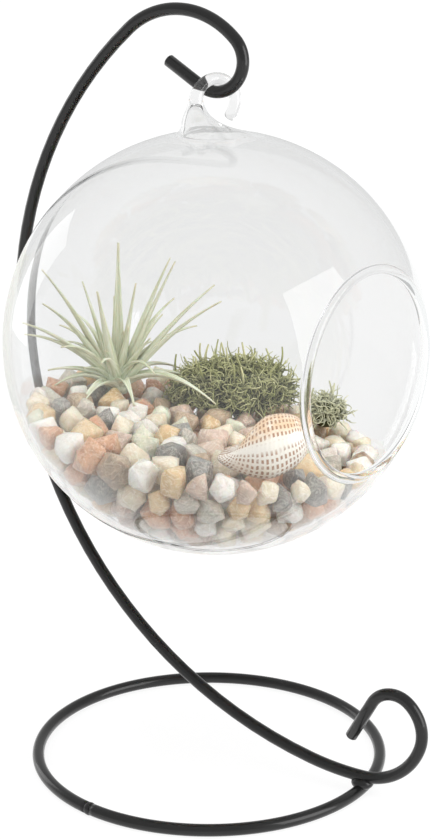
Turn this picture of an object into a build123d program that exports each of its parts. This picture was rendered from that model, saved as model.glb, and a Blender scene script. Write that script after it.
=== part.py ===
from build123d import *
import math
import os

import numpy as np

os.makedirs("parts", exist_ok=True)

# Air plant holder: a blown glass globe with a side mouth hangs from a bent wire stand.
# The origin is the centre of the base ring on the floor, and the wire's plane is XZ.
# Lengths are in millimetres and angles in degrees. Values that end in share are shares.

# Wire of the stand, drawn with flat sides to keep its facets few
wire_diameter = 3.5
wire_sides = 10

# Base ring, bent round with its ends butted and welded
ring_radius = 51.3
ring_seam_azimuth = -101
ring_seam_gap = 1.2
weld_bulge = 0.25
weld_sides = 8
foot_weld_radius = 3.4
foot_weld_height = 2.2
weld_shoulder_share = 0.72

# Upright wire from its weld on the ring: up the sweep to the hook, as tangent arcs
heel_radius, heel_turn = 79.7, 12.1
sweep_radius, sweep_turn = 125.8, 73.2
back_radius, back_turn = 112.5, 54.2
crown_radius, crown_turn = 24.8, 85.4
hook_radius, hook_turn = 8.5, 166.7
hook_end_length = 12.6

# The same wire on the other side of the weld: the scroll
toe_radius, toe_turn = 18.4, 73.1
curl_radius, curl_turn = 12.1, 67.9
eye_radius, eye_turn = 7.4, 100.7
scroll_end_length = 13.8

# Glass globe, its mouth and the fire polished bead round the mouth
globe_radius = 60
glass_wall = 1.8
globe_drop = 70.5
globe_sides = 32
globe_rings = 14
mouth_radius = 28.7
mouth_azimuth = -7
mouth_tilt = 2.7
bead_radius = 1.3
bead_turns = 4

# Drawn glass neck and the hook that hangs over the wire
crook_azimuth = 55
crook_radius = 5.9
crook_rod_radius = 1.6
crook_sides = 10
crook_arc_steps = 8
crook_tip_length = 6.2
crook_swell = 0.5
crook_swell_steps = 2
crook_tip_shares = [(1, 0.9), (0.7, 0.25)]
hang_clearance = 0.3
neck_foot_radius = 11
neck_stem_radius = 2.8
neck_stem_height = 66
neck_sides = 20
neck_root_share = 0.2
neck_shares = [
    (0, 1, 0),
    (0.16, 0.74, 0.24),
    (0.36, 0.46, 0.58),
    (0.63, 0.22, 0.87),
    (0.83, 0.08, 0.98),
    (1, 0, 1),
]

# Bed of tumbled stones, which slopes down towards the mouth and the back
stone_count = 338
stone_radius = 4.15
stone_radius_spread = 0.9
stone_corners = 9
stone_gap_share = 0.03
stone_reach_share = 1.35
stone_wall_share = 0.85
stone_sink_share = 0.75
stone_clearance = 0.35
bed_depth = 33.6
bed_slope_share = 0.17
bed_slope_azimuth = 30
settle_rounds = 80
stone_seed = 4
stone_colour_shares = {
    "quartz": 0.15,
    "cream": 0.23,
    "amber": 0.09,
    "rust": 0.1,
    "brown": 0.12,
    "grey": 0.12,
    "slate": 0.06,
    "jade": 0.06,
    "rose": 0.07,
}
chosen_stone_shares = [
    ("rust", (-0.28, -0.77, -0.47)),
    ("rust", (-0.45, -0.79, -0.27)),
    ("quartz", (-0.3, -0.82, -0.37)),
    ("quartz", (-0.31, -0.29, -0.38)),
    ("quartz", (-0.25, -0.23, -0.38)),
    ("amber", (-0.1, -0.29, -0.4)),
    ("slate", (-0.08, -0.17, -0.4)),
    ("brown", (-0.15, -0.01, -0.39)),
    ("grey", (0.02, -0.23, -0.41)),
    ("cream", (0, -0.09, -0.41)),
    ("rose", (0.09, -0.12, -0.41)),
    ("slate", (-0.47, -0.35, -0.37)),
    ("rust", (-0.33, -0.46, -0.38)),
    ("rust", (-0.16, -0.72, -0.39)),
    ("slate", (0.32, -0.65, -0.43)),
    ("cream", (0.67, -0.47, -0.47)),
    ("rose", (0.54, -0.61, -0.48)),
]

# Sea shell
shell_length = 26
shell_width = 18
shell_turns = 2.6
shell_sides = 8
shell_balls = 2
shell_steps_per_turn = 9
shell_growth = 2.0
shell_roll = 200
shell_axis_shares = (0.75, 0.55, 0.25)
shell_place_shares = (0.49, -0.41, -0.32)
whorl_drop_share = 0.62
whorl_offset_share = 0.23
whorl_width_share = 0.35
whorl_height_share = 0.37

# Air plant
plant_leaves = 26
plant_travel = 8
leaf_length = 44
leaf_width = 4.6
leaf_thickness = 1.1
plant_core_radius = 4.2
plant_core_height = 9
core_bulge_share = 0.45
plant_place_shares = (-0.58, 0.1, -0.375)
golden_turn = 137.5
leaf_short_share = 0.45
leaf_peak_share = 0.2
leaf_pitch_inner = 86
leaf_pitch_outer = 12
leaf_droop_inner = 5
leaf_droop_outer = 50
leaf_steps = 4
leaf_lift_step = 6
leaf_lift_steps = 10
leaf_clearance = 1.6
leaf_over_stones = 3
leaf_root_share = 0.7
leaf_out_share = 0.45
leaf_taper = 0.9
leaf_thinning_share = 0.6

# Moss
moss_travel = 8
moss_length = 38
moss_depth = 21
moss_height = 18
tuft_length = 14
tuft_depth = 13
tuft_height = 13
moss_sides = 11
moss_rows = 5
lump_share = 0.12
lump_twist = 1.3
clump_azimuth = 30
clump_lumps, clump_balls = 4, 3
tuft_lumps, tuft_balls = 3, 2
moss_settling = 1
clump_place_shares = (-0.13, 0.4, -0.34)
tuft_place_shares = (0.4, 0.5, -0.41)

# Worked out from the values above
wire_radius = wire_diameter / 2
rod_height = wire_diameter + wire_radius
inner_radius = globe_radius - glass_wall
bed_level = bed_depth - inner_radius


def flat_face(corners):
    """A flat face with straight edges through its corners."""
    return Face(Wire.make_polygon(corners))


def skinned(rings, folded=False):
    """A closed solid through rings of points, joined by flat faces. A ring of one point is a pole.
    Folded faces are split in two, for rings that turn or twist on their way."""
    faces = [flat_face(ring) for ring in (rings[0], rings[-1]) if len(ring) > 1]
    for low, high in zip(rings, rings[1:]):
        for i in range(max(len(low), len(high))):
            j = i + 1
            if len(low) == 1:
                faces.append(flat_face([low[0], high[j % len(high)], high[i]]))
            elif len(high) == 1:
                faces.append(flat_face([low[i], low[j % len(low)], high[0]]))
            else:
                corners = [low[i], low[j % len(low)], high[j % len(high)], high[i]]
                if folded:
                    faces.append(flat_face(corners[:3]))
                    faces.append(flat_face([corners[0], *corners[2:]]))
                else:
                    faces.append(flat_face(corners))
    return Solid(Shell(faces))


def circle_points(centre, radius, sides, across, along):
    """Points of a flat-sided circle round a centre, in the plane of two unit directions."""
    turn = 2 * math.pi / sides
    return [
        centre + across * (radius * math.cos(turn * k)) + along * (radius * math.sin(turn * k))
        for k in range(sides)
    ]


def turned_rings(outline, sides, plane):
    """The rings of an outline of (radius, height) turned round the normal of a plane."""
    rings = []
    for radius, height in outline:
        centre = plane.origin + plane.z_dir * height
        if radius == 0:
            rings.append([centre])
        else:
            rings.append(circle_points(centre, radius, sides, plane.x_dir, plane.y_dir))
    return rings


# Base ring: one wire bent round, its ends butted at the seam
seam_turn = math.degrees(ring_seam_gap / ring_radius)
with BuildPart() as base_ring:
    with BuildSketch(Plane.XZ.rotated((0, 0, ring_seam_azimuth + seam_turn / 2))):
        with Locations((ring_radius, wire_radius)):
            RegularPolygon(wire_radius, wire_sides, major_radius=False)
    revolve(axis=Axis.Z, revolution_arc=360 - seam_turn)
base_ring.part.label = "base_ring"

# Seam weld: fills the gap with a slight bulge, dressed flush with the floor
with BuildPart() as seam_weld:
    with BuildSketch(Plane.XZ.rotated((0, 0, ring_seam_azimuth - seam_turn / 2))):
        with Locations((ring_radius, wire_radius)):
            RegularPolygon(wire_radius + weld_bulge, wire_sides, major_radius=False)
    revolve(axis=Axis.Z, revolution_arc=seam_turn)
    split(bisect_by=Plane.XY)
seam_weld.part.label = "seam_weld"

# Upright wire: a scroll, a long sweep and a hook in one plane
with BuildPart() as stand_rod:
    with BuildLine(Plane.XZ) as rod_path:
        weld_point = (ring_radius, rod_height)
        heel = JernArc(weld_point, (-1, 0), heel_radius, -heel_turn)
        sweep_arc = JernArc(heel @ 1, heel % 1, sweep_radius, -sweep_turn)
        back = JernArc(sweep_arc @ 1, sweep_arc % 1, back_radius, -back_turn)
        crown = JernArc(back @ 1, back % 1, crown_radius, -crown_turn)
        hook = JernArc(crown @ 1, crown % 1, hook_radius, -hook_turn)
        Line(hook @ 1, hook @ 1 + (hook % 1) * hook_end_length)
        toe = JernArc(weld_point, (1, 0), toe_radius, toe_turn)
        curl = JernArc(toe @ 1, toe % 1, curl_radius, curl_turn)
        eye = JernArc(curl @ 1, curl % 1, eye_radius, eye_turn)
        scroll_tip = Line(eye @ 1, eye @ 1 + (eye % 1) * scroll_end_length)
    rod_start = Plane(origin=scroll_tip @ 1, x_dir=(0, 1, 0), z_dir=-(scroll_tip % 1))
    with BuildSketch(rod_start):
        RegularPolygon(wire_radius, wire_sides, major_radius=False)
    sweep(path=rod_path.wires()[0])
stand_rod.part.label = "stand_rod"

# Foot weld: a bead in the corners where the upright wire crosses the ring
crossing = Plane(origin=(ring_radius, 0, wire_diameter))
bead_outline = [
    (0, -foot_weld_height),
    (foot_weld_radius * weld_shoulder_share, -foot_weld_height * weld_shoulder_share),
    (foot_weld_radius, 0),
    (foot_weld_radius * weld_shoulder_share, foot_weld_height * weld_shoulder_share),
    (0, foot_weld_height),
]
with BuildPart() as foot_weld:
    add(skinned(turned_rings(bead_outline, weld_sides, crossing)))
    add(base_ring.part, mode=Mode.SUBTRACT)
    add(stand_rod.part, mode=Mode.SUBTRACT)
foot_weld.part.label = "foot_weld"

# The globe hangs plumb below the lowest point of the hook
seat = Vector(*hook.center_point) - Vector(0, 0, hook_radius)
globe_centre = seat - Vector(0, 0, globe_drop)
mouth_way = Vector(1, 0, 0).rotate(Axis.Y, -mouth_tilt).rotate(Axis.Z, mouth_azimuth)
mouth_plane = Plane(origin=globe_centre, x_dir=(0, 1, 0), z_dir=mouth_way)
crook_way = Vector(1, 0, 0).rotate(Axis.Z, crook_azimuth)
crook_side = Vector(0, 1, 0).rotate(Axis.Z, crook_azimuth)
up = Vector(0, 0, 1)


def on_arc(radius, angle):
    """The (radius, height) of a point on the globe's section, its angle counted from the mouth."""
    return radius * math.sin(math.radians(angle)), radius * math.cos(math.radians(angle))


def glass_outline():
    """The section of the blown wall: round the outside, over the bead and back along the inside."""
    middle = globe_radius - glass_wall / 2
    lip = math.degrees(math.asin(mouth_radius / middle))
    bead_r, bead_h = on_arc(middle, lip)
    bead_start = 180 - math.degrees(math.asin(glass_wall / 2 / bead_radius))
    wall_steps = [180 + (lip - 180) * k / (globe_rings + 1) for k in range(globe_rings + 1)]
    outline = [on_arc(globe_radius, angle) for angle in wall_steps]
    for k in range(bead_turns + 1):
        turn = math.radians(lip + bead_start * (1 - 2 * k / bead_turns) - 90)
        outline.append(
            (bead_r + bead_radius * math.sin(turn), bead_h + bead_radius * math.cos(turn))
        )
    outline += [on_arc(inner_radius, angle) for angle in reversed(wall_steps)]
    outline[0] = (0, -globe_radius)
    outline[-1] = (0, -inner_radius)
    return outline


def neck_rings():
    """The drawn neck: round on the globe, narrowing as it leans over to the stem of the hook."""
    foot_height = inner_radius + glass_wall * neck_root_share
    rings = []
    for height_share, radius_share, lean_share in neck_shares:
        height = foot_height + (neck_stem_height - foot_height) * height_share
        radius = neck_stem_radius + (neck_foot_radius - neck_stem_radius) * radius_share
        centre = globe_centre + up * height - crook_way * (crook_radius * lean_share)
        rings.append(circle_points(centre, radius, neck_sides, crook_way, crook_side))
    return rings


# Globe shell: the blown wall, its mouth and the drawn neck, all one glass
with BuildPart() as globe_shell:
    add(skinned(turned_rings(glass_outline(), globe_sides, mouth_plane)))
    add(skinned(neck_rings()))
globe_shell.part.label = "globe_shell"


def crook_rings():
    """The hook's rod: up from the neck, over the wire and down to a rounded tip, ever thinner."""
    stem_foot = globe_centre + up * neck_stem_height - crook_way * crook_radius
    arc_centre = seat + up * (wire_radius + hang_clearance + crook_rod_radius - crook_radius)
    rings = [circle_points(stem_foot, neck_stem_radius, crook_sides, crook_way, crook_side)]
    for k in range(crook_arc_steps + 1):
        turn = math.pi * k / crook_arc_steps
        outward = up * math.sin(turn) - crook_way * math.cos(turn)
        swell = crook_swell * max(1 - k / crook_swell_steps, 0)
        centre = arc_centre + outward * crook_radius
        rings.append(
            circle_points(centre, crook_rod_radius + swell, crook_sides, -outward, crook_side)
        )
    tip = arc_centre + crook_way * crook_radius - up * crook_tip_length
    for radius_share, back_share in crook_tip_shares:
        centre = tip + up * (crook_rod_radius * back_share)
        radius = crook_rod_radius * radius_share
        rings.append(circle_points(centre, radius, crook_sides, -crook_way, crook_side))
    return rings + [[tip]]


# Glass hook: a solid rod bent over the wire
with BuildPart() as glass_hook:
    add(skinned(crook_rings(), folded=True))
glass_hook.part.label = "glass_hook"


def bed_height(x, y):
    """Height of the bed's top in the globe, which slopes one way."""
    turn = math.radians(bed_slope_azimuth)
    return bed_level - bed_slope_share * (x * math.cos(turn) + y * math.sin(turn))


def in_globe(shares):
    """A place inside the globe, given as shares of its inner radius."""
    return globe_centre + Vector(*shares) * inner_radius


def whorl_rings():
    """Ellipses of a shell's tube, wound round its axis and doubling in size with each turn."""
    rings = []
    axis = shell_axis.normalized()
    out = axis.cross(up).normalized()
    across = axis.cross(out)
    steps = round(shell_turns * shell_steps_per_turn)
    angles = [2 * math.pi * i / shell_sides for i in range(shell_sides)]
    for k in range(steps + 1):
        size = shell_growth ** ((k - steps) / shell_steps_per_turn)
        turn = 2 * math.pi * k / shell_steps_per_turn + math.radians(shell_roll)
        way = out * math.cos(turn) + across * math.sin(turn)
        centre = (
            shell_apex
            - axis * (shell_length * whorl_drop_share * size)
            + way * (shell_width * whorl_offset_share * size)
        )
        ring = [
            centre
            + way * (shell_width * whorl_width_share * size * math.cos(angle))
            + axis * (shell_length * whorl_height_share * size * math.sin(angle))
            for angle in angles
        ]
        rings.append(ring)
    return rings


# Sea shell: a short spire on a plump body whorl
shell_axis = Vector(*shell_axis_shares)
shell_apex = in_globe(shell_place_shares) + shell_axis.normalized() * (shell_length / 2)
with BuildPart() as sea_shell:
    rings = whorl_rings()
    whorls = [
        ConvexPolyhedron(near + far, mode=Mode.PRIVATE) for near, far in zip(rings, rings[1:])
    ]
    add(whorls)
sea_shell.part.label = "sea_shell"


def clump_rings(centre, length, depth, height, lumps):
    """A lumpy mound: its rings swell and sink round a flattened dome."""
    rings = [[centre - up * (height / 2)]]
    for row in range(1, moss_rows):
        tilt = math.pi * (row / moss_rows - 1 / 2)
        ring = []
        for k in range(moss_sides):
            turn = 2 * math.pi * k / moss_sides
            lump = 1 + lump_share * math.sin(lumps * turn + row * lump_twist)
            ring.append(
                centre
                + clump_way * (length / 2 * lump * math.cos(tilt) * math.cos(turn))
                + clump_side * (depth / 2 * lump * math.cos(tilt) * math.sin(turn))
                + up * (height / 2 * math.sin(tilt))
            )
        rings.append(ring)
    return rings + [[centre + up * (height / 2)]]


# Moss: a long clump behind the shell and a tuft behind the mouth
clump_way = Vector(1, 0, 0).rotate(Axis.Z, clump_azimuth)
clump_side = Vector(0, 1, 0).rotate(Axis.Z, clump_azimuth)
clump_centre = in_globe(clump_place_shares)
tuft_centre = in_globe(tuft_place_shares)
with BuildPart() as moss_clump:
    mound = clump_rings(clump_centre, moss_length, moss_depth, moss_height, clump_lumps)
    add(skinned(mound, folded=True))
moss_clump.part.label = "moss_clump"
with BuildPart() as moss_tuft:
    mound = clump_rings(tuft_centre, tuft_length, tuft_depth, tuft_height, tuft_lumps)
    add(skinned(mound, folded=True))
moss_tuft.part.label = "moss_tuft"


def ball_row(centre, way, length, radius, count):
    """Balls that stand for a long clump: places along it that other pieces keep clear of."""
    reach = length / 2 - radius
    return [(centre + way * (reach * (2 * k / (count - 1) - 1)), radius) for k in range(count)]


# The moss settles a little lower than its balls, onto the stones
clump_top = clump_centre + up * moss_settling
tuft_top = tuft_centre + up * moss_settling
moss_balls = ball_row(clump_top, clump_way, moss_length, moss_depth / 2, clump_balls)
moss_balls += ball_row(tuft_top, clump_way, tuft_length, tuft_depth / 2, tuft_balls)


# Air plant: leaves in a spiral round a short core, the inner ones upright
plant_foot = in_globe(plant_place_shares)


def leaf_line(number, lift):
    """Points along the middle of a leaf, with its heading at each, from the core to the tip."""
    age = number / plant_leaves
    azimuth = math.radians(golden_turn * number)
    peak = math.sin(math.pi * (leaf_peak_share + age * (1 - leaf_peak_share)))
    length = leaf_length * (leaf_short_share + (1 - leaf_short_share) * peak)
    pitch = math.radians(leaf_pitch_inner + (leaf_pitch_outer - leaf_pitch_inner) * age + lift)
    droop = math.radians(leaf_droop_inner + (leaf_droop_outer - leaf_droop_inner) * age)
    way = Vector(math.cos(azimuth), math.sin(azimuth), 0)
    point = plant_foot + up * (plant_core_height * (1 - age) * leaf_root_share)
    point += way * (plant_core_radius * leaf_out_share)
    stations = []
    for k in range(leaf_steps + 1):
        bend = pitch - droop * (k / leaf_steps) ** 2
        heading = way * math.cos(bend) + up * math.sin(bend)
        stations.append((point, heading))
        point = point + heading * (length / leaf_steps)
    return stations, way


def has_room(point):
    """Whether a leaf may pass through a point: inside the glass, over the stones and off the moss,
    with room to lift the plant and the moss."""
    place = point - globe_centre
    in_glass = all(
        (place + up * lift).length < inner_radius - leaf_clearance for lift in (0, plant_travel)
    )
    over_stones = place.Z > bed_height(place.X, place.Y) + leaf_over_stones
    off_moss = all(
        (point - centre - up * lift).length > radius + leaf_clearance
        for centre, radius in moss_balls
        for lift in (0, moss_travel)
    )
    return in_glass and over_stones and off_moss


def leaf_rings(number):
    """Channelled leaf: two edges and a keel at each station, closing to a point.
    A leaf without room is lifted step by step."""
    for step in range(leaf_lift_steps):
        stations, way = leaf_line(number, step * leaf_lift_step)
        if all(has_room(point) for point, heading in stations[1:]):
            break
    else:
        return None
    side = way.cross(up)
    rings = []
    for k, (point, heading) in enumerate(stations[:-1]):
        share = k / leaf_steps
        half = leaf_width / 2 * (1 - share) ** leaf_taper
        deep = leaf_thickness * (1 - share * leaf_thinning_share)
        below = side.cross(heading)
        rings.append([point + side * half, point + below * deep, point - side * half])
    return rings + [[stations[-1][0]]]


with BuildPart() as air_plant:
    core_outline = [
        (0, 0),
        (plant_core_radius, plant_core_height * core_bulge_share),
        (0, plant_core_height),
    ]
    grown = [rings for rings in map(leaf_rings, range(plant_leaves)) if rings]
    add(skinned(turned_rings(core_outline, moss_sides, Plane(origin=plant_foot))))
    add([skinned(rings, folded=True) for rings in grown])
air_plant.part.label = "air_plant"


# Bed of stones: a heap is settled, then cut into one cell for each stone
shell_middle = in_globe(shell_place_shares)
kept_clear = moss_balls + ball_row(
    shell_middle, shell_axis.normalized(), shell_length, shell_width / 2, shell_balls
)
kept_clear.append((plant_foot + up * plant_core_radius, plant_core_radius))
kept_clear = [(np.array(tuple(place - globe_centre)), radius) for place, radius in kept_clear]


def settled_places(dice, radii):
    """Places of the stones in the globe: they push one another apart until they lie evenly."""
    places = dice.uniform(-inner_radius, inner_radius, (stone_count, 3))
    for _ in range(settle_rounds):
        apart = places[:, None] - places[None]
        far = np.linalg.norm(apart, axis=2) + np.eye(stone_count) * globe_radius
        press = np.clip(radii[:, None] + radii[None] - far, 0, None) / far / 2
        places = places + (apart * press[..., None]).sum(axis=1)
        for centre, radius in kept_clear:
            away = places - centre
            reach = np.linalg.norm(away, axis=1)
            places += away * (np.clip(radius + radii - reach, 0, None) / reach)[:, None]
        top = bed_height(places[:, 0], places[:, 1]) - radii * stone_sink_share
        places[:, 2] = np.minimum(places[:, 2], top)
        reach = np.linalg.norm(places, axis=1)
        limit = inner_radius - stone_clearance - radii * stone_wall_share
        places *= np.minimum(1, limit / reach)[:, None]
    return places


def spread_ways(dice, count):
    """Unit directions spread evenly round a ball and turned at random."""
    heights = 1 - (2 * np.arange(count) + 1) / count
    turns = math.radians(golden_turn) * np.arange(count)
    flat = np.sqrt(1 - heights**2)
    ways = np.stack([flat * np.cos(turns), flat * np.sin(turns), heights], axis=1)
    twist, _ = np.linalg.qr(dice.normal(size=(3, 3)))
    return ways @ twist


def stone_points(index, places, radii, dice):
    """Corners of one stone, on the walls of its cell: halfway to its neighbours, by their sizes."""
    place, radius = places[index], radii[index]
    ways = spread_ways(dice, stone_corners)
    reach = np.full(stone_corners, radius * stone_reach_share)
    apart = np.delete(places, index, axis=0) - place
    far = np.linalg.norm(apart, axis=1)
    other = np.delete(radii, index)
    walls = list(zip(apart / far[:, None], (far**2 + radius**2 - other**2) / far / 2))
    for centre, ball in kept_clear:
        away = np.linalg.norm(centre - place)
        walls.append(((centre - place) / away, away - ball - stone_clearance))
    for normal, distance in walls:
        facing = ways @ normal
        ahead = facing > 0
        reach[ahead] = np.minimum(reach[ahead], distance / facing[ahead])
    along = ways @ place
    glass = inner_radius - stone_clearance
    reach = np.minimum(reach, -along + np.sqrt(along**2 + glass**2 - place @ place))
    corners = place + ways * (reach * (1 - stone_gap_share))[:, None]
    return [globe_centre + Vector(*corner) for corner in corners]


def stone_colours(dice, places):
    """A colour for each stone: chosen ones at their places, the rest by their shares."""
    names = list(stone_colour_shares)
    chances = np.array(list(stone_colour_shares.values()))
    colours = [str(name) for name in dice.choice(names, stone_count, p=chances / chances.sum())]
    for name, shares in chosen_stone_shares:
        nearest = np.linalg.norm(places - np.array(shares) * inner_radius, axis=1).argmin()
        colours[nearest] = name
    return colours


dice = np.random.default_rng(stone_seed)
stone_radii = stone_radius + dice.uniform(-stone_radius_spread, stone_radius_spread, stone_count)
stone_places = settled_places(dice, stone_radii)
colours = stone_colours(dice, stone_places)
stones = {name: [] for name in stone_colour_shares}
for index, name in enumerate(colours):
    points = stone_points(index, stone_places, stone_radii, dice)
    stones[name].append(ConvexPolyhedron(points, mode=Mode.PRIVATE))
pebbles = []
for name, group in stones.items():
    with BuildPart() as pebble_group:
        add(group)
    pebble_group.part.label = f"pebbles_{name}"
    pebbles.append(pebble_group)

pieces = [
    base_ring,
    seam_weld,
    stand_rod,
    foot_weld,
    globe_shell,
    glass_hook,
    sea_shell,
    moss_clump,
    moss_tuft,
    air_plant,
    *pebbles,
]
for piece in pieces:
    export_step(piece.part, f"parts/{piece.part.label}.step")
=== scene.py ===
import math
import random

import bmesh
import bpy
from mathutils import Matrix, Vector, noise


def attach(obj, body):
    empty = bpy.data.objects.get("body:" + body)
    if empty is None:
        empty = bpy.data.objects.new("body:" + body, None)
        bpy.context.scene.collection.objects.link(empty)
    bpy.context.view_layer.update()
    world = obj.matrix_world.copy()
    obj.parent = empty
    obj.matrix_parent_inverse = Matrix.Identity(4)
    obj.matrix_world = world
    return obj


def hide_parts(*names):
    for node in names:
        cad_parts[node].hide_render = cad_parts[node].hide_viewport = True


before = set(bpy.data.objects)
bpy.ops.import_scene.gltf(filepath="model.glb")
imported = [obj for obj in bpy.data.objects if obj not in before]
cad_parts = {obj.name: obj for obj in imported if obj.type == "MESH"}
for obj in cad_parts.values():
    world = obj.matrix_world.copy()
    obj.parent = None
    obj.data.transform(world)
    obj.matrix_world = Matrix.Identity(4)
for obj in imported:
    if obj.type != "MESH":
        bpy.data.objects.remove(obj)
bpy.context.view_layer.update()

MM = 0.001
UP = Vector((0, 0, 1))

# Places and sizes in millimetres, turns in degrees
WIRE_RADIUS = 1.75
WIRE_SIDES = 24
RING_RADIUS = 51.3
RING_STEPS = 180
SEAM_AZIMUTH = -101
SEAM_GAP = 1.2
SEAT = Vector((2.257, 0, 198.67))
GLOBE_DROP = 70.5
GLOBE = SEAT - UP * GLOBE_DROP
GLOBE_RADIUS = 60
GLOBE_STEPS = 128
GLASS_WALL = 1.8
INNER_RADIUS = GLOBE_RADIUS - GLASS_WALL


class Socket:
    """A value in a material's nodes that takes part in sums as a number does."""

    def __init__(self, paint, link):
        self.paint = paint
        self.link = link

    def __add__(self, other):
        return self.paint.math("ADD", self, other)

    __radd__ = __add__

    def __mul__(self, other):
        return self.paint.math("MULTIPLY", self, other)

    __rmul__ = __mul__

    def __sub__(self, other):
        return self.paint.math("SUBTRACT", self, other)

    def __rsub__(self, other):
        return self.paint.math("SUBTRACT", other, self)

    def away(self, value):
        """How far it is from a value."""
        return self.paint.math("ABSOLUTE", self - value)

    def above(self, edge, soft):
        """0 below an edge and 1 above it, with a soft step between."""
        step = {"interpolation_type": "SMOOTHSTEP"}
        return self.paint.node("ShaderNodeMapRange", step, self, edge - soft, edge + soft)


class Paint:
    """A material, or the world, built node by node."""

    def __init__(self, name, tree=None):
        if tree is None:
            self.material = bpy.data.materials.new(name)
            self.material.use_nodes = True
            tree = self.material.node_tree
        self.tree = tree
        tree.nodes.clear()

    def node(self, kind, settings=None, *values, out=0, **named):
        """Adds a node: its settings first, then the values or links of its sockets.

        A socket that is given None stays as it is.
        """
        made = self.tree.nodes.new(kind)
        for name, value in (settings or {}).items():
            setattr(made, name, value)
        sockets = dict(enumerate(values))
        sockets.update({name.replace("_", " "): value for name, value in named.items()})
        for socket, value in sockets.items():
            if isinstance(value, Socket):
                self.tree.links.new(value.link, made.inputs[socket])
            elif value is not None:
                made.inputs[socket].default_value = value
        return Socket(self, made.outputs[out]) if len(made.outputs) else None

    def math(self, operation, *values):
        return self.node("ShaderNodeMath", {"operation": operation}, *values)

    def clamped(self, value):
        return self.node("ShaderNodeClamp", None, value)

    def rays(self, *names):
        """What is known, by name, of the ray that meets the surface."""
        return [self.node("ShaderNodeLightPath", out=name) for name in names]

    def spot(self):
        """The place on the object, in metres."""
        return self.node("ShaderNodeTexCoord", out="Object")

    def clouds(self, spot, detail, rough=0.5, warp=0.0):
        """Cloudy noise over any places, with features about one unit across."""
        return self.node(
            "ShaderNodeTexNoise", None,
            Vector=spot, Scale=1.0, Detail=detail, Roughness=rough, Distortion=warp,
        )

    def noise(self, size, detail, rough=0.5, warp=0.0):
        """Cloudy noise over the object, with features of a size in millimetres."""
        scaled = {"operation": "SCALE"}
        spot = self.node("ShaderNodeVectorMath", scaled, self.spot(), Scale=1 / size / MM)
        return self.clouds(spot, detail, rough, warp)

    def mix(self, factor, low, high):
        """Blends two colours, whose sockets come after five for numbers and vectors."""
        colours = [(*side, 1) if isinstance(side, tuple) else side for side in (low, high)]
        others = [None] * 5
        return self.node(
            "ShaderNodeMix", {"data_type": "RGBA"}, factor, *others, *colours, out=2
        )

    def attribute(self, name):
        """A number that a mesh carries at its points."""
        return self.node("ShaderNodeAttribute", {"attribute_name": name}, out="Fac")

    def bump(self, height, strength, depth):
        """Turns heights into a surface normal, with the depth in millimetres."""
        return self.node(
            "ShaderNodeBump", None, Strength=strength, Distance=depth * MM, Height=height
        )

    def principled(self, **named):
        return self.node("ShaderNodeBsdfPrincipled", None, **named)

    def surface(self, shader):
        """Ends the material with its shader."""
        self.node("ShaderNodeOutputMaterial", None, shader)
        return self.material

    def finish(self, **named):
        """Ends the material with a principled shader."""
        return self.surface(self.principled(**named))


# Materials


def wire_paint():
    """Satin black powder coat: a fine orange peel and slightly uneven gloss."""
    paint = Paint("satin_black")
    peel = paint.noise(size=0.5, detail=3)
    cloud = paint.noise(size=9, detail=3)
    return paint.finish(
        Base_Color=paint.mix(cloud, (0.005, 0.005, 0.005), (0.01, 0.01, 0.01)),
        Roughness=0.24 + cloud * 0.12,
        Normal=paint.bump(peel, strength=0.15, depth=0.06),
        Specular_IOR_Level=0.28,
        Coat_Weight=0.42,
        Coat_Roughness=0.05,
    )


def glass_paint():
    """Clear glass. Lamplight passes straight through, and so does light trapped in the wall."""
    paint = Paint("clear_glass")
    glass = paint.principled(
        Base_Color=(0.965, 0.968, 0.968, 1), Roughness=0.0, IOR=1.47, Transmission_Weight=1.0
    )
    clear = paint.node("ShaderNodeBsdfTransparent", None, (0.96, 0.965, 0.965, 1))
    shadow_ray, reflections = paint.rays("Is Shadow Ray", "Glossy Depth")
    trapped = paint.math("GREATER_THAN", reflections, 1.5)
    through = paint.math("MAXIMUM", shadow_ray, trapped)
    return paint.surface(paint.node("ShaderNodeMixShader", None, through, glass, clear))


def stone_paint(name, light, deep, vein, gloss, clouding):
    """A tumbled stone: its own shade, clouds, veins and specks under a worn polish."""
    paint = Paint(name)
    cloud = paint.noise(size=3.2, detail=4, rough=0.6, warp=0.6)
    fine = paint.noise(size=0.7, detail=3, rough=0.6)
    wander = paint.noise(size=4.5, detail=3, rough=0.55, warp=2.2)
    veins = paint.clamped(1 - wander.away(0.5) * 22)
    depth = paint.clamped(paint.attribute("shade") * 0.65 + (cloud - 0.5) * clouding)
    colour = paint.mix(depth, light, deep)
    colour = paint.mix(veins * 0.65, colour, vein)
    colour = paint.mix(fine.above(0.58, 0.05) * 0.35, colour, deep)
    return paint.finish(
        Base_Color=colour,
        Roughness=gloss + fine * 0.25,
        Normal=paint.bump(cloud + fine * 0.35 + veins * 0.2, strength=0.6, depth=0.5),
        Coat_Weight=0.6,
        Coat_Roughness=0.08,
        Subsurface_Weight=0.25,
        Subsurface_Scale=0.002,
    )


SHELL_RIBS = 52
SHELL_DASHES = 24


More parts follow.
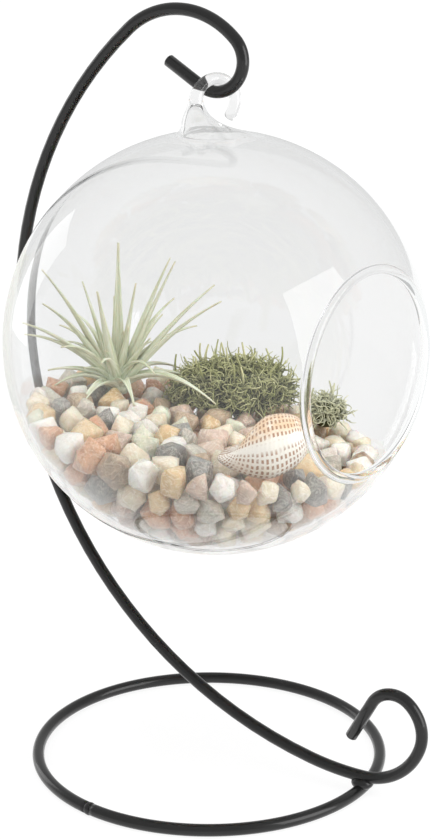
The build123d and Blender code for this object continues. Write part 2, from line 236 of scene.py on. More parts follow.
def shell_paint():
    """White shell with brown dashes on its spiral ribs, one plain band and browner clouds."""
    paint = Paint("dashed_shell")
    along = paint.attribute("along")
    around = paint.attribute("around")
    wander = paint.noise(size=2.2, detail=3)
    patchy = paint.noise(size=3.0, detail=2)
    cloud = paint.noise(size=5, detail=3)
    ribs = paint.math("SINE", around * (2 * math.pi * SHELL_RIBS))
    beats = paint.math("SINE", along * (2 * math.pi * SHELL_DASHES) + wander * 5)
    dashes = ribs.above(0.0, 0.4) * beats.above(-0.3, 0.3) * patchy.above(0.34, 0.14)
    plain = 1 - along.away(0.235).above(0.028, 0.02)
    flame = along.above(0.29, 0.04) * wander.above(0.38, 0.2) * 0.75
    white = paint.mix(cloud, (0.9, 0.84, 0.73), (0.95, 0.92, 0.86))
    ground = paint.mix(flame, white, (0.8, 0.5, 0.25))
    brown = paint.mix(wander, (0.24, 0.1, 0.045), (0.5, 0.26, 0.12))
    return paint.finish(
        Base_Color=paint.mix(dashes * (1 - plain) * 0.92, ground, brown),
        Roughness=0.28 + wander * 0.15,
        Normal=paint.bump(ribs, strength=0.2, depth=0.08),
        Coat_Weight=0.3,
        Coat_Roughness=0.1,
    )


def moss_paint():
    """Curly moss: dark inside, pale yellow green at the tips, each strand a little different,
    some under a painted pale veil that stands in for the glass's reflections.
    """
    paint = Paint("curly_moss")
    shade = paint.attribute("shade")
    fine = paint.noise(size=1.5, detail=2)
    deep = paint.mix(shade, (0.04, 0.05, 0.015), (0.14, 0.16, 0.06))
    pale = paint.mix(shade, (0.36, 0.39, 0.14), (0.88, 0.86, 0.5))
    colour = paint.mix(paint.attribute("along").above(0.45, 0.4), deep, pale)
    colour = paint.mix(fine * 0.3, colour, (0.2, 0.18, 0.07))
    # Painted reflection: a pale wash over the marked strands, standing in for the veil that the
    # glass's reflections lay over them
    colour = paint.mix(paint.attribute("painted_veil") * 0.42, colour, (0.8, 0.8, 0.7))
    return paint.finish(Base_Color=colour, Roughness=0.75 + fine * 0.15)


def leaf_paint():
    """Silvery leaf: grey scales in fine lengthwise lines, greener between, dry at the tip."""
    paint = Paint("silver_leaf")
    along = paint.attribute("along")
    shade = paint.attribute("shade")
    lengthwise = paint.node(
        "ShaderNodeCombineXYZ", None, paint.attribute("around") * 9, along * 3, shade * 40
    )
    streaks = paint.clouds(lengthwise, detail=3)
    scurf = paint.noise(size=0.35, detail=2)
    green = paint.mix(shade, (0.44, 0.48, 0.3), (0.6, 0.62, 0.42))
    silver = paint.mix(scurf, (0.66, 0.7, 0.54), (0.84, 0.86, 0.72))
    colour = paint.mix(streaks.above(0.47, 0.16), green, silver)
    return paint.finish(
        Base_Color=paint.mix(along.above(0.9, 0.09) * 0.5, colour, (0.62, 0.54, 0.34)),
        Roughness=0.62 + scurf * 0.2,
        Normal=paint.bump(streaks + scurf * 0.3, strength=0.4, depth=0.15),
        Subsurface_Weight=0.1,
        Subsurface_Scale=0.0015,
    )


# Meshes


def added(name, bm):
    """Adds a mesh to the scene as an object."""
    mesh = bpy.data.meshes.new(name)
    bm.to_mesh(mesh)
    bm.free()
    made = bpy.data.objects.new(name, mesh)
    bpy.context.scene.collection.objects.link(made)
    return made


def piece(name, bm, material, body, nodes):
    """Makes a finished piece of the object, riding on a body, from a mesh in millimetres."""
    bmesh.ops.scale(bm, vec=(MM, MM, MM), verts=bm.verts)
    for face in bm.faces:
        face.smooth = True
    made = added(name, bm)
    made.data.materials.append(material)
    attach(made, body)
    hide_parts(*nodes)
    return made


def direction(azimuth):
    """The level direction at an azimuth."""
    turn = math.radians(azimuth)
    return Vector((math.cos(turn), math.sin(turn), 0))


def facing(way):
    """The turn that brings Z to a direction."""
    return way.to_track_quat("Z", "Y").to_matrix().to_4x4()


def edges_of(made):
    return [item for item in made if isinstance(item, bmesh.types.BMEdge)]


def edges_at(verts):
    return list({edge for vert in verts for edge in vert.link_edges})


def verts_of(edges):
    return list({vert for edge in edges for vert in edge.verts})


def middle_of(verts):
    return sum((vert.co for vert in verts), Vector()) / len(verts)


def ring_edges(bm, centre, radius, way, sides):
    """The edges of a new circle of points that faces a direction."""
    made = bmesh.ops.create_circle(
        bm, cap_ends=False, segments=sides, radius=radius,
        matrix=Matrix.Translation(centre) @ facing(way),
    )
    return edges_at(made["verts"])


def widened(bm, verts, grow, centre):
    """Widens points about a centre."""
    bmesh.ops.scale(bm, vec=(grow,) * 3, verts=verts, space=Matrix.Translation(-centre))


def drawn(bm, ring, shift, grow=1.0):
    """Draws a ring of edges out by a shift, and widens it."""
    ring = edges_of(bmesh.ops.extrude_edge_only(bm, edges=ring)["geom"])
    verts = verts_of(ring)
    bmesh.ops.translate(bm, vec=shift, verts=verts)
    widened(bm, verts, grow, middle_of(verts))
    return ring


def spun(bm, ring, centre, axis, degrees, steps):
    """Bends a ring of edges round a centre, and gives its last place."""
    made = bmesh.ops.spin(
        bm, geom=ring, cent=centre, axis=axis, angle=math.radians(degrees), steps=steps,
        use_merge=False,
    )
    return edges_of(made["geom_last"])


def closed(bm):
    """Fills the open ends, and turns every face outwards."""
    bmesh.ops.holes_fill(bm, edges=[edge for edge in bm.edges if edge.is_boundary])
    bmesh.ops.recalc_face_normals(bm, faces=bm.faces)


def islands(bm):
    """The separate parts of a mesh, as lists of points, in the order of their first point."""
    seen = set()
    for first in list(bm.verts):
        if first in seen:
            continue
        group, reached = set(), [first]
        while reached:
            vert = reached.pop()
            if vert not in group:
                group.add(vert)
                reached += [edge.other_vert(vert) for edge in vert.link_edges]
        seen |= group
        yield sorted(group, key=lambda vert: vert.index)


# Stand: the base ring and the upright wire are bent from one round section
black = wire_paint()


def stand_piece(name, bm, node):
    piece(name, bm, black, "stand", [node])


def base_ring():
    gap = math.degrees(SEAM_GAP / RING_RADIUS)
    way = direction(SEAM_AZIMUTH + gap / 2)
    bm = bmesh.new()
    start = way * RING_RADIUS + UP * WIRE_RADIUS
    ring = ring_edges(bm, start, WIRE_RADIUS, way.cross(UP), WIRE_SIDES)
    spun(bm, ring, (0, 0, 0), UP, 360 - gap, RING_STEPS)
    closed(bm)
    stand_piece("base_ring_wire", bm, "base_ring")


# The bead over the seam, drawn along the ring: each step's length and how much it widens
SEAM_BEAD = [(0.4, 1.07), (0.35, 1.04), (0.5, 1.0), (0.35, 0.96), (0.4, 0.93)]
SEAM_BEAD_LENGTH = 2.0
SEAM_BEAD_INSET = 0.05


def seam_weld():
    way = direction(SEAM_AZIMUTH)
    along = UP.cross(way)
    start = way * RING_RADIUS + UP * WIRE_RADIUS - along * (SEAM_BEAD_LENGTH / 2)
    bm = bmesh.new()
    ring = ring_edges(bm, start, WIRE_RADIUS - SEAM_BEAD_INSET, along, WIRE_SIDES)
    for step, grow in SEAM_BEAD:
        ring = drawn(bm, ring, along * step, grow)
    closed(bm)
    # What the bead would sink into the table is cut off flat
    bmesh.ops.bisect_plane(
        bm, geom=bm.verts[:] + bm.edges[:] + bm.faces[:], plane_co=(0, 0, 0),
        plane_no=(0, 0, -1), clear_outer=True,
    )
    closed(bm)
    stand_piece("seam_weld_bead", bm, "seam_weld")


# The upright wire both ways from the foot weld: arcs as (radius, turn), then a straight end
RISE = [(79.7, -12.1), (125.8, -73.2), (112.5, -54.2), (24.8, -85.4), (8.5, -166.7)]
RISE_END = 12.6
SCROLL = [(18.4, 73.1), (12.1, 67.9), (7.4, 100.7)]
SCROLL_END = 13.8
BEND_AXIS = Vector((0, -1, 0))
DEGREES_A_STEP = 3
FEWEST_STEPS = 6
TIP_LENGTH = 0.35
TIP_NARROWING = 0.8


def bent_wire(bm, ring, place, heading, arcs, end_length):
    """Bends a wire through its arcs, then draws its straight end with a rounded tip."""
    for radius, turn in arcs:
        side = Vector((-heading.z, 0, heading.x))
        centre = place + side * math.copysign(radius, turn)
        turner = Matrix.Rotation(math.radians(turn), 3, BEND_AXIS)
        steps = max(FEWEST_STEPS, round(abs(turn) / DEGREES_A_STEP))
        ring = spun(bm, ring, centre, BEND_AXIS, turn, steps)
        place = centre + turner @ (place - centre)
        heading = turner @ heading
    ring = drawn(bm, ring, heading * (end_length - TIP_LENGTH))
    drawn(bm, ring, heading * TIP_LENGTH, TIP_NARROWING)


def stand_rod():
    start = Vector((RING_RADIUS, 0, 3 * WIRE_RADIUS))
    right = Vector((1, 0, 0))
    bm = bmesh.new()
    ring = ring_edges(bm, start, WIRE_RADIUS, right, WIRE_SIDES)
    bent_wire(bm, ring, start, -right, RISE, RISE_END)
    bent_wire(bm, ring, start, right, SCROLL, SCROLL_END)
    closed(bm)
    stand_piece("stand_rod_wire", bm, "stand_rod")


FOOT_WELD_SIZE = (3.3, 3.3, 2.1)


def foot_weld():
    """A bead of weld that fills the corners where the two wires cross."""
    bm = bmesh.new()
    bmesh.ops.create_icosphere(bm, subdivisions=4, radius=1)
    bmesh.ops.scale(bm, vec=FOOT_WELD_SIZE, verts=bm.verts)
    bmesh.ops.translate(bm, vec=(RING_RADIUS, 0, 2 * WIRE_RADIUS), verts=bm.verts)
    stand_piece("foot_weld_bead", bm, "foot_weld")


base_ring()
seam_weld()
stand_rod()
foot_weld()


# Globe: a blown wall with a beaded mouth, a drawn neck and the hook, one glass
MOUTH_WAY = Vector((0.9897, -0.1429, -0.0082)).normalized()
MOUTH_RADIUS = 28.4
BEAD_RADIUS = 1.3
BEAD_STEPS = 18
# How far short of the bead's middle the faces of the wall end, in radians of their turn
WALL_END = 0.03
WALL_STEPS = 72
NECK_SIDES = 32
CROOK_WAY = direction(55)
CROOK_RADIUS = 5.9
CROOK_STEPS = 18
CROOK_NARROW_STEPS = 4
CROOK_NARROWING = 0.95
CURL_RADIUS = 7.5
CURL_TURN = 36
CURL_STEPS = 6
# The rounded tip of the hook: each step's length and how much it narrows
HOOK_TIP = [(0.6, 0.88), (0.4, 0.72), (0.2, 0.4)]
# Radius, height over the globe's centre and lean, as a share of the way into the hook's stem
NECK = [
    (11.4, 58.6, 0), (10.9, 59, 0.03), (10, 59.4, 0.12), (8.9, 59.8, 0.25), (7.8, 60.4, 0.4),
    (6.6, 61.2, 0.58), (5.5, 62.2, 0.75), (4.65, 63.2, 0.87), (3.85, 64.2, 0.95),
    (3.25, 65.2, 0.99), (2.75, 66.2, 1), (2.35, 67.2, 1), (2.05, 68.25, 1),
]
NECK_HOLLOW = [
    (13, 56.5, 0), (11, 57.6, 0), (9.8, 58.3, 0.03), (8.6, 58.9, 0.12), (7.4, 59.6, 0.27),
    (6.1, 60.4, 0.45), (4.9, 61.4, 0.64), (3.9, 62.5, 0.8), (3.1, 63.6, 0.9),
    (2.4, 64.8, 0.97), (1.8, 66, 1), (1.2, 67, 1), (0.5, 67.5, 1),
]


def glass_outline():
    """The section of the blown wall as (radius, height) points: outside, bead, inside."""
    wall = GLOBE_RADIUS - GLASS_WALL / 2
    lip = math.asin(MOUTH_RADIUS / wall)
    bead = Vector((wall * math.sin(lip), wall * math.cos(lip)))
    reach = lip + WALL_END - math.pi
    turns = [math.pi + reach * (k / WALL_STEPS) for k in range(WALL_STEPS + 1)]
    outline = [(GLOBE_RADIUS * math.sin(turn), GLOBE_RADIUS * math.cos(turn)) for turn in turns]
    start = math.pi - math.asin(GLASS_WALL / 2 / BEAD_RADIUS)
    for k in range(BEAD_STEPS + 1):
        turn = lip + start * (1 - 2 * k / BEAD_STEPS) - math.pi / 2
        out, up = BEAD_RADIUS * math.sin(turn), BEAD_RADIUS * math.cos(turn)
        outline.append((bead.x + out, bead.y + up))
    outline += [
        (INNER_RADIUS * math.sin(turn), INNER_RADIUS * math.cos(turn)) for turn in turns[::-1]
    ]
    return outline


def globe_wall():
    """The blown wall, turned about the axis of its mouth."""
    bm = bmesh.new()
    points = [bm.verts.new((abs(radius), 0, height)) for radius, height in glass_outline()]
    chain = [bm.edges.new(pair) for pair in zip(points, points[1:])]
    bmesh.ops.spin(
        bm, geom=points + chain, cent=(0, 0, 0), axis=UP, angle=2 * math.pi,
        steps=GLOBE_STEPS, use_merge=True,
    )
    bmesh.ops.remove_doubles(bm, verts=bm.verts, dist=0.001)
    place = Matrix.Translation(GLOBE) @ facing(MOUTH_WAY)
    bmesh.ops.transform(bm, matrix=place, verts=bm.verts)
    closed(bm)
    return bm


def drawn_neck(bm, profile):
    """Draws a ring up through a profile, and leans it over to the stem of the hook."""
    width, height, _ = profile[0]
    ring = ring_edges(bm, GLOBE + UP * height, width, UP, NECK_SIDES)
    for (width, height, lean), (new_width, new_height, new_lean) in zip(profile, profile[1:]):
        shift = UP * (new_height - height) - CROOK_WAY * (CROOK_RADIUS * (new_lean - lean))
        ring = drawn(bm, ring, shift, new_width / width)
    return ring


def neck_hollow():
    """The air inside the foot of the neck."""
    bm = bmesh.new()
    drawn_neck(bm, NECK_HOLLOW)
    closed(bm)
    return bm


def neck_and_hook():
    """The drawn neck, whose stem bends over the wire and curls in at its end."""
    bm = bmesh.new()
    ring = drawn_neck(bm, NECK)
    side = UP.cross(CROOK_WAY)
    centre = GLOBE + UP * NECK[-1][1]
    for k in range(CROOK_STEPS):
        ring = spun(bm, ring, centre, side, 180 / CROOK_STEPS, 1)
        if k < CROOK_NARROW_STEPS:
            verts = verts_of(ring)
            widened(bm, verts, CROOK_NARROWING, middle_of(verts))
    curl_centre = centre + CROOK_WAY * (CROOK_RADIUS - CURL_RADIUS)
    ring = spun(bm, ring, curl_centre, side, CURL_TURN, CURL_STEPS)
    way = Matrix.Rotation(math.radians(CURL_TURN), 3, side) @ -UP
    for step, grow in HOOK_TIP:
        ring = drawn(bm, ring, way * step, grow)
    closed(bm)
    return bm


def finished_mesh(made, *helpers):
    """The mesh of an object with its modifiers done. The object and its helpers go."""
    bpy.context.view_layer.update()
    depsgraph = bpy.context.evaluated_depsgraph_get()
    mesh = bpy.data.meshes.new_from_object(made.evaluated_get(depsgraph))
    for helper in (made, *helpers):
        bpy.data.objects.remove(helper)
    return mesh


def globe_glass():
    """Joins the neck to the wall and hollows it, with no walls left inside the glass."""
    whole = added("wall", globe_wall())
    tools = [added("neck", neck_and_hook()), added("air", neck_hollow())]
    for tool, operation in zip(tools, ("UNION", "DIFFERENCE")):
        join = whole.modifiers.new(operation, "BOOLEAN")
        join.operation, join.solver, join.object = operation, "EXACT", tool
    bm = bmesh.new()
    bm.from_mesh(finished_mesh(whole, *tools))
    nodes = ["globe_shell", "glass_hook"]
    piece("globe_glass", bm, glass_paint(), "globe", nodes)


globe_glass()


# Stones: each one is rounded off as if tumbled, worn in its own way
# Light, deep and vein colours, roughness and strength of the clouds
STONES = {
    "quartz": ((0.9, 0.87, 0.8), (0.62, 0.57, 0.49), (0.97, 0.96, 0.93), 0.12, 2.6),
    "cream": ((0.86, 0.78, 0.61), (0.62, 0.52, 0.36), (0.95, 0.91, 0.82), 0.2, 2.4),
    "amber": ((0.82, 0.62, 0.36), (0.54, 0.35, 0.16), (0.92, 0.82, 0.62), 0.12, 2.4),
    "rust": ((0.74, 0.43, 0.25), (0.44, 0.22, 0.13), (0.86, 0.66, 0.49), 0.2, 2.4),
    "brown": ((0.55, 0.41, 0.28), (0.27, 0.19, 0.13), (0.72, 0.6, 0.44), 0.2, 2.2),
    "grey": ((0.64, 0.59, 0.5), (0.36, 0.32, 0.26), (0.84, 0.8, 0.7), 0.24, 2.2),
    "slate": ((0.3, 0.285, 0.255), (0.12, 0.11, 0.1), (0.6, 0.57, 0.5), 0.24, 2.0),
    "jade": ((0.74, 0.74, 0.58), (0.48, 0.49, 0.35), (0.88, 0.87, 0.76), 0.16, 2.4),
    "rose": ((0.68, 0.52, 0.41), (0.4, 0.29, 0.22), (0.86, 0.76, 0.66), 0.2, 2.4),
}
STONE_SWELL = 1.07
STONE_STRETCH = (0.9, 1.06)
CORNER_SHIFT = 0.28
STONE_BEVEL = 0.5
STONE_WEAR = 2.4
RIPPLE_SIZE = 2
RIPPLE_HEIGHT = 0.55
# Points of a stone nearer to the glass than this are pressed towards it, up to a clearance
NEAR_GLASS = 7
GLASS_CLEARANCE = 0.5
PRESS = 0.55


def pressed(vert):
    """Moves a point of a stone near the glass part of the way to the wall it lies against."""
    reach = vert.co - GLOBE
    gap = INNER_RADIUS - GLASS_CLEARANCE - reach.length
    if 0 < gap < NEAR_GLASS:
        vert.co += reach.normalized() * (gap * PRESS * (1 - gap / NEAR_GLASS))


def tumbled_stones(name, dice):
    """Stones of one colour: some worn round, some still angular chips."""
    node = f"pebbles_{name}"
    bm = bmesh.new()
    bm.from_mesh(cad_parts[node].data)
    bmesh.ops.scale(bm, vec=(1 / MM,) * 3, verts=bm.verts)
    bmesh.ops.remove_doubles(bm, verts=bm.verts, dist=0.002)
    bm.verts.index_update()
    for stone in islands(bm):
        stretch = [STONE_SWELL * dice.uniform(*STONE_STRETCH) for _ in range(3)]
        space = Matrix.Translation(-middle_of(stone))
        bmesh.ops.scale(bm, vec=stretch, verts=stone, space=space)
        for vert in stone:
            shift = [dice.uniform(-CORNER_SHIFT, CORNER_SHIFT) for _ in range(3)]
            vert.co += Vector(shift)
            pressed(vert)
    bmesh.ops.bevel(
        bm, geom=bm.edges, offset=STONE_BEVEL, offset_type="OFFSET", segments=2, profile=0.5,
        affect="EDGES", clamp_overlap=True, material=-1,
    )
    bm.verts.index_update()
    shade = bm.verts.layers.float.new("shade")
    # A bevel leaves its points in no fixed order, so the stones are taken from left to right
    for stone in sorted(islands(bm), key=lambda stone: middle_of(stone).x):
        tint, worn = dice.random(), dice.random()
        for _ in range(round(worn * STONE_WEAR)):
            bmesh.ops.smooth_vert(
                bm, verts=stone, factor=0.5, use_axis_x=True, use_axis_y=True, use_axis_z=True
            )
        for vert in stone:
            vert[shade] = tint
            vert.co += noise.noise_vector(vert.co / RIPPLE_SIZE) * RIPPLE_HEIGHT
    material = stone_paint(f"stone_{name}", *STONES[name])
    piece(f"tumbled_{name}", bm, material, "globe", [node])


dice = random.Random(7)
noise.seed_set(7)
for name in STONES:
    tumbled_stones(name, dice)


# Sea shell: a ring of points wound round an axis, smaller with each step
SHELL_AXIS = Vector((0.75, 0.55, 0.25)).normalized()
SHELL_CENTRE = Vector((30.8, -23.9, 109.5))
SHELL_LENGTH = 26.5
SHELL_WIDTH = 17.5
SHELL_TURNS = 4
SHELL_SIDES = 36
SHELL_STEPS = 36
SHELL_ROLL = 75
# How many times wider each turn is than the one before it
SHELL_GROWTH = 2
# Shares of the shell's length
APEX_SHARE = 0.46
MOUTH_DROP_SHARE = 0.5
MOUTH_HEIGHT_SHARE = 0.45
# Shares of the shell's width
MOUTH_OFFSET_SHARE = 0.22
MOUTH_WIDTH_SHARE = 0.33
CANAL_SHARE = 0.19
# How the mouth narrows into its canal
CANAL_TAPER = 0.35
CANAL_CURVE = 1.5


def sea_shell():
    out = SHELL_AXIS.cross(UP).normalized()
    roll = math.radians(SHELL_ROLL)
    way = out * math.cos(roll) + SHELL_AXIS.cross(out) * math.sin(roll)
    apex = SHELL_CENTRE + SHELL_AXIS * (SHELL_LENGTH * APEX_SHARE)
    drop = SHELL_AXIS * (SHELL_LENGTH * MOUTH_DROP_SHARE)
    centre = apex - drop + way * (SHELL_WIDTH * MOUTH_OFFSET_SHARE)
    bm = bmesh.new()
    along = bm.verts.layers.float.new("along")
    around = bm.verts.layers.float.new("around")
    made = bmesh.ops.create_circle(bm, cap_ends=False, segments=SHELL_SIDES, radius=1)
    for k, vert in enumerate(made["verts"]):
        across, height = vert.co.x, vert.co.y
        taper = max(0, -height)
        reach = MOUTH_WIDTH_SHARE * across * (1 - CANAL_TAPER * taper)
        reach -= CANAL_SHARE * taper**CANAL_CURVE
        rise = SHELL_LENGTH * MOUTH_HEIGHT_SHARE * height
        vert.co = centre + way * (SHELL_WIDTH * reach) + SHELL_AXIS * rise
        vert[around] = k / SHELL_SIDES
    ring = edges_at(made["verts"])
    shrink = SHELL_GROWTH ** (-1 / SHELL_STEPS)
    turn = Matrix.Rotation(-2 * math.pi / SHELL_STEPS, 4, SHELL_AXIS)
    for k in range(SHELL_TURNS * SHELL_STEPS):
        ring = edges_of(bmesh.ops.extrude_edge_only(bm, edges=ring)["geom"])
        verts = verts_of(ring)
        bmesh.ops.transform(bm, matrix=turn, verts=verts, space=Matrix.Translation(-apex))
        widened(bm, verts, shrink, apex)
        for vert in verts:
            vert[along] = (k + 1) / SHELL_STEPS
    closed(bm)
    piece("dashed_sea_shell", bm, shell_paint(), "shell", ["sea_shell"])


sea_shell()


# Moss: curly strands and a few taller ones over each mound
MOUND_TURN = Matrix.Rotation(math.radians(30), 3, "Z")
# Size of the dark core, depth of the roots and the lowest root, as shares of the mound
MOUND_CORE = 0.8
ROOT_DEPTH = (0.55, 0.93)
LOWEST_ROOT = -0.35
STRAND_RADIUS = 0.26
STRAND_STEPS = (5, 8)
STRAND_STRAY = 0.9
TALL_EVERY = 55
TALL_STEPS = 10
TALL_RISE = 0.25
# Thickness at the root, and what it loses up to the tip, in strand radii
STRAND_THICK = 1.15
TALL_THICK = 1.7
TAPER = 0.75
# Bend at each step and the least tilt of a tall strand, in radians
STRAND_BEND = (0.4, 0.9)
TALL_BEND = 0.12
TALL_TILT = 0.3
moss = moss_paint()


def any_way(dice):
    return Vector([dice.uniform(-1, 1) for _ in range(3)])


def moss_strand(curve, centre, size, stride, may_be_tall, dice):
    """One strand, from its root in the mound outwards."""
    azimuth = dice.uniform(0, 2 * math.pi)
    tilt = math.asin(dice.uniform(LOWEST_ROOT, 1))
    level = math.cos(tilt)
    way = Vector((math.cos(azimuth) * level, math.sin(azimuth) * level, math.sin(tilt)))
    depth = dice.uniform(*ROOT_DEPTH)
    place = centre + MOUND_TURN @ (way * size / 2) * depth
    heading = (MOUND_TURN @ way + any_way(dice) * STRAND_STRAY).normalized()
    curl = any_way(dice).normalized()
    tall = may_be_tall and tilt > TALL_TILT
    steps = TALL_STEPS if tall else dice.randint(*STRAND_STEPS)
    bend = TALL_BEND if tall else dice.uniform(*STRAND_BEND)
    spline = curve.splines.new("POLY")
    spline.points.add(steps)
    for k, point in enumerate(spline.points):
        point.co = (*place, 1)
        point.radius = (TALL_THICK if tall else STRAND_THICK) - TAPER * k / steps
        place = place + heading * stride
        heading = (Matrix.Rotation(bend, 3, curl) @ heading).normalized()
        if tall:
            heading = (heading + UP * TALL_RISE).normalized()


def moss_strands(name, centre, size, count, stride, painted_veil_share, body, node, dice):
    """A mound of strands over a dark core."""
    centre, size = Vector(centre), Vector(size)
    curve = bpy.data.curves.new(name, "CURVE")
    curve.dimensions = "3D"
    curve.bevel_depth = STRAND_RADIUS
    curve.bevel_resolution = 0
    for number in range(count):
        moss_strand(curve, centre, size, stride, number % TALL_EVERY == 0, dice)
    holder = bpy.data.objects.new(name, curve)
    bpy.context.scene.collection.objects.link(holder)
    bm = bmesh.new()
    bm.from_mesh(finished_mesh(holder))
    bm.verts.index_update()
    shade = bm.verts.layers.float.new("shade")
    along = bm.verts.layers.float.new("along")
    # How much painted pale veil, standing in for the glass's reflections, each strand gets
    painted_veil = bm.verts.layers.float.new("painted_veil")
    for strand in islands(bm):
        tint = dice.random()
        for k, vert in enumerate(strand):
            vert[shade] = tint
            vert[along] = k / len(strand)
            vert[painted_veil] = painted_veil_share
    core = bmesh.ops.create_icosphere(bm, subdivisions=4, radius=0.5)["verts"]
    stretch = Matrix.Diagonal((*(size * MOUND_CORE), 1))
    place = Matrix.Translation(centre) @ MOUND_TURN.to_4x4() @ stretch
    bmesh.ops.transform(bm, matrix=place, verts=core)
    piece(name, bm, moss, body, [node])


moss_strands(
    "moss_clump_strands", centre=(-5.3, 23.3, 107.4), size=(38, 21, 18), count=2000,
    stride=0.95, painted_veil_share=0, body="moss", node="moss_clump", dice=dice,
)
# The tuft gets the painted pale veil, which stands in for the glass's reflections over it
moss_strands(
    "moss_tuft_strands", centre=(23.6, 27.8, 103.4), size=(11, 10, 10.5), count=330,
    stride=0.68, painted_veil_share=1, body="tuft", node="moss_tuft", dice=dice,
)


# Air plant: tapered channelled leaves, each bent from the foot to its tip
PLANT_FOOT = Vector((-33.9, 4.4, 106.5))
# Tip of each leaf from the plant's foot, its width at the foot and how much it arches
LEAVES = [
    (-5, 9, 44, 5.2, 0.06), (-11, -22, 41, 5.0, 0.16), (-10, -3, 34, 4.6, 0.06),
    (4, -16, 35, 5.2, 0.05), (-10, 14, 26, 4.4, 0.05), (10, -5, 36, 3.6, 0.05),
    (10, 14, 40, 5.2, 0.1), (19, 2, 42, 5.0, 0.08), (24, 16, 33, 5.2, 0.12),
    (32, 6, 31, 5.4, 0.18), (7, 21, 26, 4.2, 0.3), (12, 26, 17, 5.0, 0.35),
    (-11, -22, 31, 5.6, 0.26), (-15, -27, 26, 5.2, 0.2), (-16, -25, 22, 4.8, 0.3),
    (-18, -4, 20, 5.0, 0.4), (-7, -19, 18, 5.0, 0.5), (-2, 22, 22, 3.6, 0.05),
    (17, -6, 10, 4.4, 0.8), (-16, -3, 15, 5.2, 0.55), (-15, -15, 9, 5.0, 0.3),
    (32, 3, 1, 6.4, 0.6), (0, -23, -1, 5.4, 0.7), (-12, -16, 5, 5.4, 0.6),
    (8, -6, 23, 5.0, 0.08), (-8, -11, 22, 4.8, 0.15), (14, -4, 20, 4.8, 0.12),
    (7, -19, 15, 4.8, 0.5), (9, 22, 4, 4.6, 0.5), (20, 14, 4, 4.4, 0.4),
    (16, -16, 3, 4.6, 0.6),
]
LEAF_SEGMENTS = (6, 18)
LEAF_THICKNESS = 0.4
LEAF_ROOT = 1.6
LEAF_ROOT_HEIGHT = (0.5, 4)
KNEE_RISE = 0.6
KNEE_INSET = 0.15
HALF_WIDTH = 0.56
NARROWING = 1.4
TIP_WIDTH = 0.06
CHANNEL_DEPTH = 0.35
LEAF_SPREAD = 0.95
INNER_LEAVES = 14
INNER_TURN = 137.5
FIRST_INNER_TURN = 40
INNER_REACH = (7, 15)
INNER_LOWEST = 8
INNER_RISE = 16
INNER_WIDTH = (3.8, 4.8)
INNER_BOW = (0.2, 0.5)


def leaf(bm, tip, width, bow, dice, layers):
    """One leaf: a strip narrowed to a thread, channelled and bent along its own arc."""
    along, around, shade = layers
    columns, rows = LEAF_SEGMENTS
    out = Vector((tip.x, tip.y, 0)).normalized()
    side = UP.cross(out)
    start = PLANT_FOOT + out * LEAF_ROOT + UP * dice.uniform(*LEAF_ROOT_HEIGHT)
    end = PLANT_FOOT + tip
    knee = (start + end) / 2 + (UP * KNEE_RISE - out * KNEE_INSET) * (tip.length * bow)
    tint = dice.random()
    made = bmesh.ops.create_grid(bm, x_segments=columns, y_segments=rows, size=0.5)
    for vert in made["verts"]:
        share, across = vert.co.y + 0.5, vert.co.x * 2
        place = start * (1 - share) ** 2 + knee * (2 * share * (1 - share)) + end * share**2
        heading = ((knee - start) * (1 - share) + (end - knee) * share).normalized()
        below = side.cross(heading).normalized()
        half = width * HALF_WIDTH * ((1 - share) ** NARROWING + TIP_WIDTH)
        fold = (across**2 - CHANNEL_DEPTH) * half * (1 + share) / 2
        vert[along], vert[around], vert[shade] = share, (across + 1) / 2, tint
        vert.co = place + side * (across * half * LEAF_SPREAD) - below * fold


def air_plant(dice):
    """The leaves that the view shows, and shorter ones that close the heart of the plant."""
    bm = bmesh.new()
    layers = [bm.verts.layers.float.new(name) for name in ("along", "around", "shade")]
    for x, y, z, width, bow in LEAVES:
        leaf(bm, Vector((x, y, z)), width, bow, dice, layers)
    for k in range(INNER_LEAVES):
        tip = direction(INNER_TURN * k + FIRST_INNER_TURN) * dice.uniform(*INNER_REACH)
        tip.z = INNER_LOWEST + INNER_RISE * (1 - k / INNER_LEAVES)
        leaf(bm, tip, dice.uniform(*INNER_WIDTH), dice.uniform(*INNER_BOW), dice, layers)
    made = piece("silver_leaves", bm, leaf_paint(), "plant", ["air_plant"])
    thick = made.modifiers.new("thickness", "SOLIDIFY")
    thick.thickness = LEAF_THICKNESS * MM
    thick.offset = 0


air_plant(random.Random(3))


# Studio: pale floor, white surroundings and soft lamps. Places are in metres
WHITE = (1, 1, 1, 1)
FLOOR_COLOUR = (0.9, 0.9, 0.9, 1)
FLOOR_SIZE = 3
SEEN_RAYS = ("Is Camera Ray", "Is Glossy Ray", "Is Transmission Ray")
MIDDLE = Vector((0, 0, 0.12))
CAMERA_PLACE = Vector((0.2745, -0.4716, 0.2691))
CAMERA_AIM = Vector((0.001663, 0.00096, 0.10495))
CAMERA_LENS = 85.19
CAMERA_SENSOR = 36


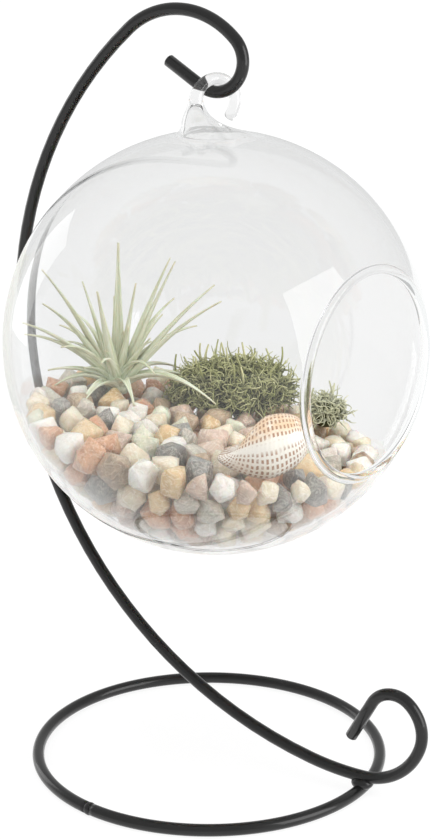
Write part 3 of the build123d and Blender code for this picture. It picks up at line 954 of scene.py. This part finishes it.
def pale_floor():
    """A pale floor that looks white from afar and keeps the object's shadow near it."""
    paint = Paint("pale_floor")
    camera_ray, glossy_ray, glass_ray = paint.rays(*SEEN_RAYS)
    matt = paint.node("ShaderNodeBsdfDiffuse", None, FLOOR_COLOUR)
    bright = paint.node("ShaderNodeEmission", None, WHITE, 1.05 - glass_ray * 0.1)
    seen = camera_ray + glossy_ray + glass_ray
    far = paint.node("ShaderNodeVectorMath", {"operation": "LENGTH"}, paint.spot(), out="Value")
    share = seen * (0.84 + far.above(0.45, 0.3) * 0.16)
    both = paint.node("ShaderNodeMixShader", None, share, matt, bright)
    bm = bmesh.new()
    bmesh.ops.create_grid(bm, x_segments=1, y_segments=1, size=FLOOR_SIZE)
    floor = added("floor", bm)
    floor.data.materials.append(paint.surface(both))


def surroundings():
    world = bpy.data.worlds.new("studio")
    bpy.context.scene.world = world
    world.use_nodes = True
    paint = Paint("studio", world.node_tree)
    camera_ray, glossy_ray, glass_ray = paint.rays(*SEEN_RAYS)
    strength = 0.66 + camera_ray * 0.34 + glass_ray * 0.27 - glossy_ray * 0.08
    background = paint.node("ShaderNodeBackground", None, WHITE, strength)
    paint.node("ShaderNodeOutputWorld", None, background)


def aimed(name, data, place, aim):
    """Puts a lamp or a camera in its place and turns it to what it looks at."""
    made = bpy.data.objects.new(name, data)
    made.location = place
    made.rotation_mode = "QUATERNION"
    made.rotation_quaternion = (aim - Vector(place)).to_track_quat("-Z", "Y")
    bpy.context.scene.collection.objects.link(made)
    return made


def softbox(name, place, width, height, power, reflected=True):
    lamp = bpy.data.lights.new(name, "AREA")
    lamp.shape = "RECTANGLE"
    lamp.size, lamp.size_y, lamp.energy = width, height, power
    made = aimed(name, lamp, place, MIDDLE)
    made.visible_camera = False
    made.visible_transmission = False
    made.visible_glossy = reflected


pale_floor()
surroundings()
softbox("softbox_right", (0.96, 0.04, 0.24), width=0.68, height=1.1, power=7.0)
softbox("softbox_left", (-0.95, 0.1, 0.15), width=0.35, height=0.9, power=1.4)
softbox(
    "softbox_front", (-0.3, -1.0, 0.7), width=0.5, height=0.5, power=3.0, reflected=False
)
softbox("softbox_top", (0.1, -0.1, 1.1), width=0.8, height=0.8, power=6.5, reflected=False)

camera = bpy.data.cameras.new("camera")
camera.lens = CAMERA_LENS
camera.sensor_width = CAMERA_SENSOR
bpy.context.scene.camera = aimed("camera", camera, CAMERA_PLACE, CAMERA_AIM)
bpy.context.scene.view_settings.view_transform = "Standard"
